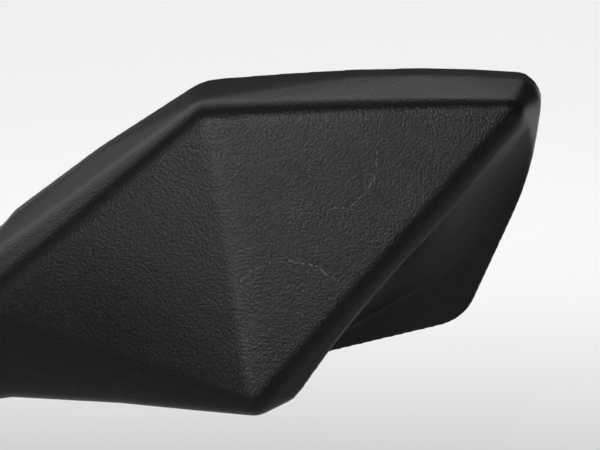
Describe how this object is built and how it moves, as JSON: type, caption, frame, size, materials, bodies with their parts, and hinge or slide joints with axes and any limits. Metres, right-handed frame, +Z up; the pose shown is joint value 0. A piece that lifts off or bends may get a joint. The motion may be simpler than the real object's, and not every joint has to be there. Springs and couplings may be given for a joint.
{
  "type": "motorcycle rear-view mirror",
  "caption": "Left-hand rear-view mirror with a faceted matt plastic head that tilts, pans and rolls on a ball, on a bent steel stem that swivels in a threaded adapter.",
  "frame": {"origin": "on the stud's axis, in the plane where the adapter's flange seats on the handlebar perch", "axes": "+Z up along the stud, +Y forwards in the direction of travel so that the glass faces -Y, -X outwards to the rider's left"},
  "size_m": [0.2827, 0.0491, 0.2512],
  "materials": {
    "grained_plastic": "fine-grained matt black moulding",
    "mirror_glass": "convex silvered glass",
    "seal_rubber": "smooth matt rubber",
    "foam": "closed-cell foam tape",
    "carrier_plastic": "plain moulded plastic",
    "zinc_steel": "bright zinc plate",
    "pressed_steel": "pressed and plated sheet",
    "spring_steel": "drawn wire",
    "nylon": "natural nylon",
    "ball_steel": "ground and polished",
    "black_coated_steel": "satin black powder coat",
    "boot_rubber": "moulded rubber",
    "adapter_steel": "turned and zinc plated"
  },
  "bodies": {
    "base": {"adapter": "adapter_steel", "wave_washer": "spring_steel"},
    "stem": {"stem": "black_coated_steel", "pivot_ball": "ball_steel", "lock_nut": "zinc_steel", "dust_boot": "boot_rubber", "boot_ring": "spring_steel", "seal_dome": "seal_rubber", "seal_ring": "spring_steel"},
    "liner_rear": {"liner_rear": "nylon"},
    "liner_front": {"liner_front": "nylon"},
    "head": {"housing": "grained_plastic", "glass": "mirror_glass", "glass_gasket": "seal_rubber", "adhesive_pad": "foam", "glass_carrier": "carrier_plastic", "carrier_screws": "zinc_steel", "pivot_bracket": "pressed_steel", "bracket_screws": "zinc_steel", "clamp_plate": "pressed_steel", "clamp_screws": "zinc_steel", "clamp_springs": "spring_steel", "clamp_nuts": "zinc_steel"}
  },
  "joints": [
    {"name": "stem_swivel", "type": "hinge", "parent": "base", "child": "stem", "pos_m": [0, 0, 0.015], "axis": [0, 0, 1], "range_deg": [-60, 60]},
    {"name": "head_tilt", "type": "hinge", "parent": "stem", "child": "liner_rear", "pos_m": [-0.07271, 0, 0.13994], "axis": [1, 0, 0], "range_deg": [-15, 15]},
    {"name": "head_roll", "type": "hinge", "parent": "liner_rear", "child": "liner_front", "pos_m": [-0.07271, 0, 0.13994], "axis": [0, 1, 0], "range_deg": [-10, 10]},
    {"name": "head_pan", "type": "hinge", "parent": "liner_front", "child": "head", "pos_m": [-0.07271, 0, 0.13994], "axis": [0, 0, 1], "range_deg": [-15, 15]}
  ]
}
